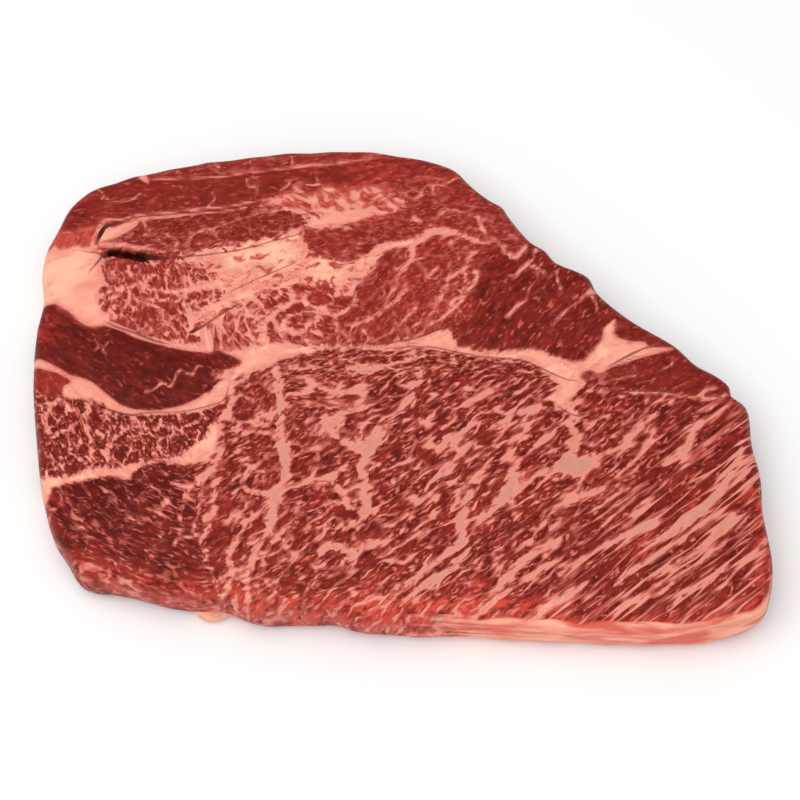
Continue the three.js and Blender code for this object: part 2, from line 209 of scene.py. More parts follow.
# Thick fat: closed outlines.
FAT_AREAS = [
    [(-125, 46), (-113, 46.2), (-108, 45.6), (-101, 45), (-97.5, 43.5), (-96.8, 39.5), (-98.5, 36),
     (-98, 32), (-97.3, 28), (-96.5, 24), (-94, 20.8), (-92, 18.5), (-98, 18.6), (-102, 18.7), (-105, 21.6),
     (-108.5, 25), (-112, 25.8), (-125, 26)],
    [(-98.3, 56), (-95, 55), (-92, 56), (-88, 57.6), (-85, 57.8), (-86, 55), (-89, 52.6), (-92, 50.4),
     (-97, 48.5), (-99, 49.5)],
    [(-125, 9), (-116, 6.5), (-110, 3.4), (-105, 0.2), (-101, -0.8), (-97, -2.8), (-92, -7), (-87, -10.8),
     (-80, -12.4), (-72, -11.6), (-66, -9.6), (-60, -5.8), (-56, -2), (-54.5, 2), (-52.5, 0), (-53, -5),
     (-55, -9.3), (-60, -12.3), (-68, -13.7), (-78, -14.6), (-86, -14.2), (-92, -11.8), (-97, -9.2),
     (-103, -9), (-106.8, -8), (-106.5, -4), (-104.5, -2.5), (-109, 0.4), (-125, 6)],
    [(-125, -34), (-114, -34.5), (-108, -35.3), (-102, -35), (-96, -32.5), (-89, -32.5), (-82, -30.8),
     (-74, -29.6), (-68, -28), (-64, -24.5), (-60.5, -21.5), (-58.5, -17), (-55.5, -17), (-55.5, -22),
     (-57, -28), (-60, -31), (-65, -32.3), (-70, -31.3), (-77, -31.5), (-82, -34), (-84, -36.8),
     (-88, -36.6), (-92, -35.8), (-97, -37.4), (-104, -38.4), (-108, -40.5), (-111, -45), (-125, -44)],
    [(-57, 9), (-50, 9.6), (-46, 10.4), (-42, 11.8), (-38, 12.2), (-32, 10.8), (-28, 10.7), (-20, 10.5),
     (-10, 10.4), (-4, 10.8), (3, 12.6), (8, 14), (13, 15.8), (17, 16.4), (19, 14.5), (20.5, 11), (25, 10),
     (26, 8.6), (35, 8.9), (45, 9.3), (50, 8), (54, 6), (60, 5.2), (62, 6.8), (64.5, 9), (67, 13),
     (68.5, 17.5), (71, 19.9), (72.2, 19), (71.8, 14.5), (75.5, 12.3), (81, 12), (82.5, 10.6), (86, 10),
     (91, 10), (90.5, 9), (84, 7), (77, 5), (70, 2.4), (66.5, 0.2), (63, 1.4), (60.5, 0), (61.5, -3),
     (58.5, -7), (56.8, -10), (58, -13.5), (60, -15.6), (57, -15.8), (53, -12), (50, -10), (48, -9.3),
     (50, -7), (52.5, -5), (51, -1), (46, 2.6), (42, 4.6), (34, 5.8), (26, 6.4), (18, 8.1), (10, 9.8),
     (5, 9.9), (-5, 9.1), (-22, 8.9), (-28, 8), (-34, 6.3), (-38, 4.6), (-41, 3), (-46, 1.2), (-51, -0.5),
     (-54.5, 1), (-52, 3), (-50, 4.5), (-51, 6)],
    [(48, -34.8), (50, -32), (52, -29), (54.5, -27), (57, -28), (60, -29), (65, -29), (68, -26.6),
     (73, -24), (77.5, -24), (74, -26), (69, -27.8), (65, -31), (61, -34.5), (58, -37.3), (54, -35.8)],
    [(-28.5, 57.5), (-26, 58.8), (-18, 60), (-10, 60.6), (-3, 60.7), (2, 61.8), (4, 61), (-2, 60), (-8, 59),
     (-12, 57), (-17, 55.6), (-27, 54.3), (-29.5, 55.2)],
]

# Seams and veins of fat: the line, then the half width at each of its points.
FAT_LINES = [
    # The cap and the bands under it
    ([(-82, 72.6), (-76, 73), (-66, 73.3), (-57, 73.9), (-50, 75.3), (-40, 76.4), (-30, 78), (-22, 78.5),
     (-14, 80), (-6, 81.2)], [0.2, 0.5, 0.45, 0.5, 0.5, 0.45, 0.7, 0.4, 0.5, 0.2]),
    ([(-100.7, 48), (-99.7, 52), (-98.5, 55), (-96.5, 57), (-92, 57.5), (-86, 59.3), (-78, 60.2),
     (-70, 60.9), (-64, 61.9), (-56, 62.7), (-50, 64), (-42, 65.4)],
     [0.7, 0.6, 0.7, 0.6, 0.5, 0.45, 0.35, 0.35, 0.5, 0.4, 0.45, 0.7]),
    ([(-88, 57.7), (-80, 58.4), (-74, 59), (-68, 59.8), (-60, 60.5), (-50, 62.2)],
     [0.7, 0.9, 0.9, 0.6, 0.45, 0.5]),
    ([(-97, 47.6), (-91, 48), (-86, 46.9), (-81, 46.2), (-77, 44.6)], [0.8, 1, 0.9, 0.7, 0.4]),
    ([(-113.5, 46.4), (-106, 46.2), (-99, 46.8)], [0.5, 0.6, 0.7]),
    ([(-98, 67.5), (-96.5, 65), (-92, 64), (-88, 65), (-85.5, 67.3), (-83, 66)],
     [0.2, 0.3, 0.3, 0.35, 0.35, 0.2]),
    ([(-72.5, 70.5), (-70.5, 67.3)], [0.25, 0.2]),
    ([(-73, 65.8), (-66, 65.8)], [0.3, 0.2]),
    ([(-61.5, 68), (-60.5, 65), (-62.5, 63)], [0.3, 0.35, 0.25]),
    ([(-50, 72.8), (-49, 70), (-46.5, 69.3), (-46.8, 66)], [0.4, 0.45, 0.45, 0.4]),
    ([(-35, 73), (-36, 70.5), (-38.5, 68.5)], [0.45, 0.45, 0.3]),
    ([(-61, 79.5), (-59.5, 77.3)], [0.3, 0.25]),
    ([(-49, 80), (-48.5, 76.5)], [0.35, 0.3]),
    ([(-35, 82), (-34.5, 78)], [0.3, 0.3]),
    ([(-100, 69.5), (-98, 67), (-98.5, 65)], [0.5, 0.4, 0.2]),
    ([(-85, 74), (-83, 71)], [1.6, 0.4]),
    ([(-26, 71), (-28, 70.5), (-33, 72)], [0.5, 0.6, 0.2]),
    ([(-27, 76), (-26, 72), (-24, 70)], [0.3, 0.35, 0.4]),
    ([(20.8, 73.8), (18, 71.6), (14, 70.9), (10, 70), (8.5, 67), (6, 65.6), (3, 67.5), (0, 67.6), (-3, 66),
     (-5, 67)], [0.5, 0.35, 0.5, 0.4, 0.6, 0.6, 0.5, 0.45, 0.5, 0.3]),
    ([(12.5, 71), (13, 67.5), (14, 64)], [0.7, 0.3, 0.3]),
    ([(-57, 48.6), (-50, 48.4), (-43, 49.2)], [0.3, 0.4, 0.3]),
    ([(-70, 45), (-62, 45.6), (-54, 46.6)], [0.35, 0.45, 0.35]),
    ([(-68.6, 45.5), (-68.2, 49.5), (-66.3, 52.2), (-61.5, 53.8), (-57, 55.5), (-51, 57.8), (-46, 59.8),
     (-42, 60.5)], [0.5, 0.5, 0.5, 0.45, 0.45, 0.4, 0.4, 0.3]),
    ([(-60.5, 53.5), (-59.5, 51), (-57.5, 49.3)], [0.6, 0.5, 0.5]),
    ([(-73, 46), (-72.5, 49), (-76, 51.5)], [0.7, 0.5, 0.3]),
    ([(-79.5, 51), (-77.5, 48.5), (-74, 45.8)], [0.3, 0.4, 0.5]),
    ([(-84, 57), (-82, 53), (-79.5, 51)], [0.7, 0.4, 0.3]),
    ([(-45, 61), (-41, 60.6), (-38, 61.6), (-34, 61), (-31, 59.8), (-29, 57)],
     [0.4, 0.6, 0.6, 0.7, 0.8, 0.9]),
    ([(-33.5, 45.5), (-34.5, 49), (-33.5, 51.4), (-31.5, 49.5), (-30, 46)], [1.6, 0.9, 0.9, 0.9, 1.2]),
    ([(-28, 54.6), (-20, 54.6), (-12, 55.6)], [0.5, 0.5, 0.3]),
    ([(-34, 70), (-30, 66.5), (-26, 64), (-24, 61)], [0.5, 0.8, 0.8, 0.8]),
    ([(-22, 69), (-19, 66), (-16, 62.5)], [0.5, 0.8, 0.8]),
    # The arc of fat in the middle and its branches
    ([(-12, 39), (-8, 42.6), (-4.5, 46.2), (0, 47.7), (5, 48.5), (9, 50.3), (12.5, 53), (17, 53),
     (22, 51.6), (26.5, 49.6), (30, 48.6)], [1.2, 1.7, 1.8, 1.7, 1.5, 1.7, 1.7, 1.7, 1.2, 1, 0.8]),
    ([(30, 48.6), (33.5, 49.3), (35.5, 47.3), (36.3, 44.6)], [0.7, 0.7, 0.8, 0.5]),
    ([(5.5, 48), (6, 44), (4.5, 40.5), (2, 37.5), (0.5, 35)], [1.4, 1.2, 1, 0.8, 0.4]),
    ([(37.5, 44.3), (39.5, 43), (41.5, 44.5), (43.6, 47.5)], [0.8, 1.5, 0.9, 0.7]),
    ([(28, 58.5), (28.5, 55.5), (29.8, 52.5)], [0.6, 1, 0.8]),
    ([(21, 60.5), (25, 59.5), (28, 57.5)], [0.4, 0.5, 0.6]),
    ([(15, 59.5), (17.5, 61)], [0.9, 0.5]),
    ([(7, 57.5), (8.5, 56.5)], [1.1, 0.9]),
    # The muscle with long veins
    ([(26.5, 45), (24, 42.5), (23.2, 39), (20, 36.5), (17.7, 34.5), (16.7, 31)],
     [0.7, 0.9, 0.9, 0.8, 0.7, 0.3]),
    ([(23.5, 38), (23.2, 34), (24.5, 33)], [0.4, 0.4, 0.4]),
    ([(26.8, 37), (26.8, 34), (24, 30.5), (21.5, 26.5), (18.5, 23), (15, 20), (10.5, 18)],
     [1.5, 0.9, 0.6, 0.8, 0.7, 0.5, 0.3]),
    ([(22.5, 32), (20.6, 27.5), (17.5, 25)], [0.4, 0.5, 0.7]),
    ([(15, 33), (14.8, 28), (13.5, 24.5), (11, 20), (10, 16)], [0.3, 0.5, 0.4, 0.3, 0.3]),
    ([(14.3, 39), (11.5, 36), (9.5, 34)], [0.9, 0.6, 0.3]),
    ([(18.5, 49), (19, 46.5)], [0.4, 0.5]),
    ([(4, 33), (2, 29.5), (0, 26.5), (-3, 24), (-5.5, 21.5), (-9, 19.3), (-13, 18)],
     [0.3, 0.5, 0.6, 0.6, 0.6, 0.6, 0.5]),
    ([(-1, 32), (-0.5, 30), (-2.5, 27)], [0.5, 0.6, 0.3]),
    ([(7, 24), (4, 20.5), (1, 17), (-3, 14), (-7, 12)], [0.5, 0.5, 0.45, 0.4, 0.3]),
    ([(10, 20), (5, 16.8), (2.5, 14.6)], [0.3, 0.4, 0.3]),
    ([(-13, 27.5), (-15, 24), (-19, 21.5), (-22.5, 23), (-26, 24)], [0.9, 0.8, 0.9, 1, 0.9]),
    ([(-19.5, 21.5), (-18.5, 18), (-16.5, 15), (-14, 11)], [0.5, 0.5, 0.4, 0.3]),
    ([(-18, 18), (-13, 17.6), (-9.5, 15), (-8, 12)], [0.4, 0.5, 0.5, 0.3]),
    # The round muscles left of it
    ([(-34.5, 33), (-34, 29), (-33.5, 26.5), (-36, 24.3), (-39.5, 22.2), (-42, 19.5)],
     [0.9, 0.8, 0.9, 1, 1, 1]),
    ([(-33.5, 26.5), (-29, 26), (-26, 24), (-25, 20.5), (-27, 17.5), (-27.5, 15)],
     [0.8, 0.7, 0.9, 0.7, 0.6, 0.4]),
    ([(-46, 27), (-43, 24), (-41, 21.5)], [0.4, 0.5, 0.7]),
    ([(-40, 20), (-37.5, 16.5), (-34, 15), (-29, 15.3)], [0.8, 1.3, 1.2, 0.8]),
    ([(-43, 20), (-43, 15.5), (-41.5, 12)], [0.7, 1, 1.4]),
    ([(-63, 15.8), (-61, 18.5), (-56.5, 21.3), (-50, 22.5), (-45, 20.5)], [1.4, 0.9, 0.7, 0.6, 0.7]),
    ([(-60.5, 9.5), (-61, 13), (-60, 17)], [1.6, 1.3, 0.5]),
    # The left middle muscle
    ([(-97, 28.5), (-93, 30.4), (-89, 31.2), (-85, 32.8), (-81.5, 34), (-79.3, 36.5)],
     [0.8, 0.9, 0.8, 0.9, 0.9, 0.4]),
    ([(-84, 31.8), (-78, 30.5), (-73, 30), (-67, 31), (-60, 32.6), (-54, 33.5), (-48, 33.8)],
     [0.8, 0.8, 1, 1.5, 2, 2, 1.5]),
    ([(-68.3, 31), (-69.3, 27), (-68, 23), (-65.5, 20)], [0.9, 0.8, 0.9, 1]),
    ([(-91.5, 31), (-92.7, 27), (-93.5, 22.5)], [0.6, 0.5, 0.7]),
    ([(-80.5, 30.5), (-79.5, 26), (-76.5, 23), (-74.5, 19.5), (-71, 15)], [0.5, 0.5, 0.6, 0.7, 0.7]),
    ([(-87, 30.5), (-86.8, 26), (-84, 22.5)], [0.5, 0.4, 0.4]),
    ([(-88, 40), (-87, 36.5), (-84.5, 33.5)], [0.3, 0.4, 0.6]),
    ([(-72, 40), (-70, 36), (-66.5, 32.5)], [0.5, 0.4, 0.6]),
    ([(-100, 19.8), (-94, 18.9), (-88, 16.6), (-82, 13.9), (-75, 11.9), (-68, 10.4), (-61, 9.6)],
     [1.4, 1.2, 1, 1.1, 1.2, 1.5, 1.6]),
    # The dark muscle
    ([(-80, -6), (-77.5, -5.4), (-74.8, -2.9), (-72, -4.1), (-69.8, 1.6), (-68, 0.9), (-65.2, 0.1),
     (-64, 3), (-62, 3)], [0.5, 0.35, 0.6, 0.45, 0.4, 0.4, 0.45, 0.4, 0.25]),
    ([(-93, 12), (-94.5, 9), (-93, 5.5)], [0.3, 0.3, 0.2]),
    ([(-98, 13.5), (-96, 10.5), (-97.5, 8.5)], [0.25, 0.4, 0.3]),
    # The netted muscle and the oval one above it
    ([(-98.5, -13), (-98, -19), (-96, -25), (-97, -31)], [0.6, 0.8, 0.7, 0.5]),
    ([(-84, -15), (-84, -18), (-88, -21.5), (-91, -26), (-90, -31)], [0.7, 0.7, 0.7, 0.6, 0.5]),
    ([(-84, -18), (-78, -19.5), (-73, -18.5), (-68, -19.5)], [0.5, 0.5, 0.5, 0.4]),
    ([(-108, -9), (-110.5, -13), (-111.5, -18), (-109.5, -22), (-105, -20.5), (-103, -25)],
     [0.8, 0.6, 0.5, 0.5, 0.5, 0.5]),
    ([(-106.5, -9), (-104.5, -12), (-102.5, -13)], [0.8, 1, 0.6]),
    # The lower left
    ([(-62, -54), (-59.5, -61), (-56.5, -68), (-54, -75)], [0.1, 0.3, 0.4, 0.2]),
    ([(-59.5, -33), (-60.5, -40), (-61.5, -48), (-63, -55)], [0.2, 0.5, 0.35, 0.1]),
    ([(-71.5, -44), (-73.5, -48), (-72.5, -49)], [1, 1, 0.5]),
    ([(-66, -39.5), (-66, -45), (-67.5, -51)], [0.8, 0.7, 0.5]),
    ([(-69.5, -37.5), (-66.5, -39.8), (-63, -38.5), (-61, -34.5)], [0.6, 0.9, 0.7, 0.4]),
    ([(-67, -55), (-68.5, -59)], [0.7, 0.5]),
    ([(-58, -33), (-57, -37), (-57, -45), (-58, -54), (-62, -56), (-66, -56.5)],
     [0.9, 0.6, 0.5, 0.5, 0.4, 0.3]),
    # The eye: the seam of fat that runs down it, and its branches
    ([(-39.5, 5), (-38, 0), (-37, -6), (-36.5, -14), (-36, -22), (-34.5, -30), (-35.2, -38), (-37.5, -43),
     (-38.5, -50), (-40.5, -56), (-43, -61), (-45, -68), (-45.5, -76)],
     [0.9, 1.2, 1.2, 1, 1.6, 1.8, 1.7, 1.7, 1.2, 0.9, 1, 0.8, 0.7]),
    ([(-54.5, 0), (-53, -5), (-52, -9.5), (-54.5, -14), (-55.5, -18)], [1, 1, 0.9, 0.9, 1.2]),
    ([(-53, -1), (-48, 1.5), (-43, 2.5), (-40, 4)], [1, 1.2, 1, 1]),
    ([(-39, -12), (-40.5, -17.5), (-45, -16.7), (-50, -16.6), (-54, -15)], [1, 1, 0.7, 0.6, 0.9]),
    ([(-55.5, -20), (-55, -26), (-56.5, -31), (-58, -35)], [1.2, 0.8, 0.9, 0.9]),
    ([(-36, -22), (-41, -20.7), (-47, -20.4), (-52, -18.5)], [0.9, 0.6, 0.5, 0.6]),
    ([(-34, -38), (-39, -41), (-43.5, -41.5), (-47, -39.5), (-47.5, -36), (-45, -33)],
     [1.2, 1.2, 0.7, 0.7, 1, 0.7]),
    ([(-37, -43), (-41, -47), (-46, -52), (-49, -58), (-51.5, -63), (-50, -69), (-53, -75)],
     [1.1, 0.8, 0.7, 0.7, 0.6, 0.6, 0.5]),
    ([(-30, -45), (-31.5, -50), (-35, -54), (-38, -58)], [0.5, 0.6, 0.6, 0.5]),
    ([(-34, -38.5), (-29, -38.5), (-25.5, -37), (-21, -36.5), (-18, -34.5), (-15, -31.5)],
     [0.9, 0.7, 0.9, 1.7, 1, 0.4]),
    ([(-22, -37), (-17.5, -40), (-15, -45), (-12, -47.5), (-8, -47)], [1.2, 0.7, 0.8, 0.8, 1.4]),
    ([(-10, -31), (-8, -26), (-4.5, -22), (-1.5, -17.5), (1.5, -13), (4.5, -9), (7, -5.5), (8.2, -1)],
     [1.2, 2.6, 1.5, 1.2, 1.4, 1.1, 0.9, 1]),
    ([(-10, -30), (-10, -36), (-9.3, -42), (-8, -47), (-11, -51), (-16, -54)],
     [1.1, 0.9, 1, 1.7, 0.8, 0.4]),
    ([(-23, -15), (-21, -17.5), (-18.5, -17.5), (-16.5, -14), (-13, -11), (-10.5, -8), (-9, -5.5)],
     [0.9, 1.7, 1.6, 1, 0.7, 0.6, 0.5]),
    ([(-20.5, -18), (-19.5, -21), (-16, -24), (-12, -26), (-9, -27)], [0.9, 0.9, 0.9, 1.1, 1.6]),
    ([(-24.5, -5.2), (-20, -6), (-15.5, -6.3), (-10, -5), (-6, -5), (-2, -4.2), (3, -3.6), (7, -3)],
     [0.7, 1.2, 1.1, 0.6, 0.5, 0.5, 0.5, 0.5]),
    ([(-28, -2), (-26.5, -4), (-29, -7), (-34, -7.5)], [1.4, 1.1, 0.7, 0.5]),
    ([(-15, 2.5), (-10, 1.6), (-5, 1.6), (1, 3.6), (6, 5.6), (10, 7)], [0.9, 1.5, 1, 0.6, 0.6, 0.6]),
    ([(-22, -59), (-16, -59.8), (-10, -60), (-5, -58.5), (-1, -56)], [0.7, 1, 1.3, 1, 0.6]),
    ([(-13, -61), (-12, -64), (-14.5, -69)], [0.8, 0.6, 0.4]),
    ([(-22, -59), (-24, -64), (-24.5, -70), (-28, -75)], [0.8, 0.6, 0.4, 0.3]),
    ([(23.5, -40), (22, -46), (21, -52), (20.7, -58), (16, -62), (10, -67), (5, -71), (1, -75), (-4, -78)],
     [0.8, 1.1, 1.9, 1.7, 1, 1, 0.9, 0.9, 0.5]),
    ([(23, -61), (17.5, -66.5), (11, -71.5), (5, -76), (2, -79)], [0.9, 1.1, 1.3, 1, 0.6]),
    ([(18, -47), (20.5, -42), (24, -38), (28, -34), (31, -29.5)], [0.5, 0.8, 0.7, 0.6, 0.6]),
    ([(12.5, -37), (14.5, -34), (18, -31.5), (22, -27), (26, -23.5)], [0.8, 0.9, 1.2, 0.7, 0.4]),
    ([(5.5, -43), (8, -44.5), (12, -41.5), (17, -38)], [0.8, 1, 0.6, 0.4]),
    ([(12, -26), (15, -25.5), (18, -21.5), (21, -18)], [1.1, 1.3, 0.7, 0.4]),
    ([(18, -26), (19.5, -22.5), (23, -19.5), (27, -16)], [0.9, 1.3, 0.9, 0.5]),
    ([(22.5, -11), (25, -9.3), (28, -8), (31, -6)], [1, 1.5, 1, 0.4]),
    ([(31, -19), (33.5, -19), (36, -15.5), (38, -13)], [0.7, 1.2, 0.9, 0.5]),
    ([(37.5, -34), (37.2, -39), (34.5, -43), (31, -46.5), (28, -50), (24, -54)],
     [1.6, 2.3, 2.3, 1.3, 0.9, 0.6]),
    ([(36, -41), (40, -39), (44, -36), (48, -33.8)], [1.4, 1.3, 1.2, 1.3]),
    ([(33, -31), (35.5, -28), (38, -26.5)], [0.5, 0.8, 0.5]),
    ([(40, -14), (43, -12.6), (46, -11.3)], [1.2, 1.7, 0.9]),
    ([(38, -23.3), (41, -22), (42, -18.5), (41, -15.5)], [0.9, 1.5, 1.2, 0.7]),
    ([(45, -25), (47.5, -23), (48, -21)], [0.7, 1, 0.4]),
    ([(56, -18), (57.5, -22), (56.5, -26.5)], [1.2, 1.5, 1.9]),
    ([(46, -52), (49, -49), (52, -46), (55, -43.7), (60, -42), (65, -40)], [0.5, 0.7, 1.2, 1.5, 1.3, 0.6]),
    ([(70, -36), (75, -31.5), (78, -28), (80, -24.5), (83, -20)], [0.4, 0.7, 1.1, 1, 0.6]),
    ([(73, -23.5), (77, -20), (80, -17), (84, -14)], [0.9, 0.6, 0.9, 0.9]),
    ([(85, -32), (88, -30.5), (91.5, -28.5), (93, -25), (95.5, -20.5), (98, -17)],
     [0.6, 1.1, 1.8, 1.5, 1.2, 0.6]),
    ([(74, -49), (77, -47), (81, -43.5)], [0.6, 1.1, 0.5]),
    ([(77, -59), (85, -55.5), (90, -52.3), (94.5, -49), (98.5, -45.5), (102, -41.5), (104, -37.5),
     (107, -33), (109.5, -28), (110, -24)], [0.6, 1.4, 1.7, 1.8, 1.9, 1.9, 1.6, 1.1, 1, 0.6]),
    ([(80, -69.5), (85, -66.6), (91, -63), (97, -58.5), (102, -54.2), (106.5, -50)],
     [1, 1.4, 1, 1.2, 1.8, 1.3]),
    ([(80, -76), (86, -71.5), (92, -67), (98, -62.5), (104, -57)], [0.8, 0.9, 0.6, 0.7, 0.5]),
    ([(42, -84), (45, -80.5), (50, -77.3), (54, -74.7), (59, -71.5)], [1.2, 1.5, 1.6, 1.2, 0.6]),
    ([(30, -74.5), (35, -69.6), (39, -65.2), (45, -61), (52, -57)], [0.9, 1.4, 1.5, 0.9, 0.4]),
    ([(51, -69), (57, -64.8), (63, -61), (69, -57.2), (74, -54.5), (80, -51.5)],
     [0.7, 0.9, 0.9, 1.3, 1.2, 0.5]),
    ([(68, -72), (73, -67.8), (79, -64), (85, -60), (90, -57)], [0.6, 1, 1.2, 0.8, 0.9]),
    ([(66, -81.5), (72, -78.4), (77, -75.8), (82, -72.3)], [0.8, 1.1, 0.9, 0.5]),
    ([(25, -82), (30, -77.5), (36, -73.5), (42, -69.5), (48, -65.5)], [0.7, 0.8, 0.6, 0.5, 0.4]),
    ([(100, -71), (105, -67), (110, -62.5), (116, -57)], [0.5, 0.8, 0.9, 0.8]),
    ([(84, -80), (90, -75), (97, -71), (103, -66)], [0.5, 0.7, 0.9, 0.5]),
    ([(104, -40), (108, -38), (112, -34)], [0.8, 0.5, 0.4]),
    # The small muscles on the right
    ([(60, -1), (66, -0.6), (69, 1), (66, -2.4), (70, -3.5)], [0.4, 0.3, 0.3, 0.4, 0.3]),
    ([(71, -1.6), (75, -0.8), (78, 0), (77.5, 3)], [0.3, 0.35, 0.3, 0.2]),
    ([(90.5, 6), (89.5, 3.5), (87, 2)], [0.3, 0.5, 0.3]),
    ([(76, -6.2), (84, -6.3), (91, -7.2), (96, -8.2)], [0.3, 0.6, 0.6, 0.8]),
    ([(96, -8.5), (98.5, -7), (100.5, -5.2), (104, -4.8)], [0.7, 0.8, 0.8, 0.5]),
    ([(99, -8.4), (103, -8), (107, -6.6)], [0.8, 0.8, 0.7]),
    ([(65.5, 30.5), (62.5, 28.5), (59, 25), (55, 22), (53, 19.5), (51, 17.8)],
     [1.4, 0.5, 0.4, 0.5, 0.4, 0.4]),
    ([(64.5, 28.5), (66, 25), (66, 22)], [0.5, 0.5, 0.2]),
    ([(53.5, 38), (53.5, 34), (54.5, 31)], [0.5, 0.45, 0.3]),
    ([(48, 38), (46, 34), (44, 31), (43, 27), (40.5, 25), (38, 22), (37, 20.7)],
     [0.7, 0.4, 0.3, 0.4, 0.4, 0.7, 1]),
    ([(49, 37), (44, 40), (40, 36.5), (36, 33.5)], [0.9, 0.8, 0.5, 0.3]),
    ([(47, 46), (46, 43), (44, 40)], [0.8, 0.8, 0.8]),
]

# Places where the fat is creamier: x, y and reach. Within the outline it is greyer.
CREAMY = [(-116, 36, 12), (-108, 40, 8), (-62, -21, 5), (-104, -37, 9), (-25, 9.6, 6), (-52, 45, 7),
          (-38, 46, 8), (-24, 38, 6), (-56, -76, 7), (67, 9, 2.5)]
DULL_FAT = [(-40, 0), (-20, 5), (10, 5), (30, 2), (44, -3), (51, -13), (58, -17), (75, -13), (100, -14),
            (112, -30), (114, -72), (0, -74), (-60, -62), (-58, -30), (-50, -8)]

# A flap of fat hangs from the near side: its middle, its size, and how far it is pressed in along each axis.
FLAP = (-57.6, -74.5, 2.8)
FLAP_SIZE = 6
FLAP_SHAPE = (0.85, 0.95, 1.3)

# Where two muscles part, with painted shade in the gap: the line, then the half width at each of its points.
SHADED_PARTINGS = [
    ([(-99.2, 48.3), (-98, 52), (-96.4, 55), (-93, 55.9), (-89.5, 57.2)], [0.15, 0.7, 0.6, 0.45, 0.15]),
    ([(-88, 58.4), (-80, 59.3), (-70, 60.2), (-60, 61.3), (-50, 62.9)], [0.2, 0.15, 0.2, 0.15, 0.05]),
    ([(-85, 44.3), (-81, 43.3), (-77, 42.9), (-70, 43.6), (-60, 44.6), (-52, 46), (-44, 48.4), (-38, 50.4),
     (-31, 52.6)], [1, 0.9, 0.5, 0.25, 0.15, 0.2, 0.15, 0.2, 0.1]),
    ([(-93, -11.4), (-90, -12.7), (-86, -13.8), (-82, -13.6), (-79, -13.1), (-70, -12.9), (-62, -11.5),
     (-55, -8.8), (-53.5, -4)], [0.1, 0.3, 0.35, 0.25, 0.12, 0.1, 0.15, 0.12, 0.05]),
    ([(-37.5, 13.4), (-33.5, 11.8), (-29, 10.8)], [0.15, 0.2, 0.1]),
    ([(-5, 10.9), (3, 12.4), (8, 13.6), (13, 15.8), (17, 17.2), (20.5, 18.8)],
     [0.1, 0.15, 0.2, 0.25, 0.2, 0.1]),
    ([(5, 10.1), (12, 10.1), (16, 9.3), (20, 8.3), (25, 7.4), (27, 6.7), (35, 6), (42, 5), (46, 3.3),
     (51, 0.7), (55, -1.2), (58, -1.9)],
     [0.1, 0.15, 0.15, 0.2, 0.15, 0.25, 0.15, 0.2, 0.2, 0.2, 0.15, 0.05]),
    ([(52.5, -11.3), (55.5, -13.6), (59, -14.9)], [0.1, 0.2, 0.1]),
    ([(-94, 19.2), (-90, 17.4), (-86, 16), (-82, 14.4), (-78, 12.7), (-74, 11.6)],
     [0.1, 0.3, 0.25, 0.3, 0.3, 0.1]),
    ([(-66, 15.6), (-63, 17.4), (-60, 19.5), (-56, 22.4), (-50, 26)], [0.6, 0.4, 0.25, 0.2, 0.1]),
    ([(-54, 30), (-47, 34), (-40, 37.5), (-33, 41)], [0.05, 0.12, 0.12, 0.05]),
    ([(70, 3.6), (75, 6.6), (81.5, 9.8), (86, 10.2)], [0.1, 0.35, 0.25, 0.05]),
    ([(66, 0), (72, 2.6), (78, 5.4)], [0.1, 0.15, 0.1]),
    ([(-103, 45.4), (-98, 44.8), (-96, 44)], [0.05, 0.2, 0.5]),
    ([(-96.5, 44.3), (-98.5, 41.2), (-100.8, 38)], [0.4, 0.3, 0.1]),
    ([(75, -5.7), (84, -5.7), (90, -6.3)], [0.15, 0.2, 0.1]),
]

# Places where the lean is a brighter red, or darker where the last number is negative: x, y, reach and
# strength.
SHADES = [(-113, 16, 6, 0.5), (-5, 78, 10, 0.35), (12, 76, 7, 0.3), (-106, 66, 5, 0.4), (62, -11, 3, 0.5),
          (64, -36, 4, 0.5), (41, -34, 4, 0.5), (25, -50, 5, 0.5), (-4, -74, 6, 0.5), (24, -74, 5, 0.5),
          (95, -45, 4, 0.5), (78, -60, 5, 0.5), (-90, -43, 9, -0.5), (-75, -40, 6, -0.3)]

# A line that runs 8 mm inside the slab's edge. Only an opening reaches below the upper face within it.
RIM = [(-96, -58), (-40, -69), (30, -75), (98, -75), (107, -60), (104, -17), (90, -1), (60, 28), (40, 45),
       (15, 72), (-10, 77), (-50, 75), (-98, 62), (-109, 45), (-108, 10), (-106, -20), (-102, -45)]


def curved(points, widths=None, closed=False, parts=5):
    """The line through these points with its corners eased, and the width along it."""
    p = np.array(points, float)
    w = np.array(widths if widths is not None else [0.0] * len(p), float)
    if closed:
        p, w = np.vstack([p[-1:], p, p[:2]]), np.concatenate([w[-1:], w, w[:2]])
    else:
        p, w = np.vstack([p[:1], p, p[-1:]]), np.concatenate([w[:1], w, w[-1:]])
    t = (np.arange(parts) / parts)[:, None]
    line, width = [], []
    for k in range(1, len(p) - 2):
        a, b, c, d = p[k - 1:k + 3]
        square, cube = 2 * a - 5 * b + 4 * c - d, 3 * b - a - 3 * c + d
        line.append(0.5 * (2 * b + (c - a) * t + square * t ** 2 + cube * t ** 3))
        width.append(w[k] + (w[k + 1] - w[k]) * t[:, 0])
    if not closed:
        line.append(p[-1:])
        width.append(w[-1:])
    return np.vstack(line), np.concatenate(width)


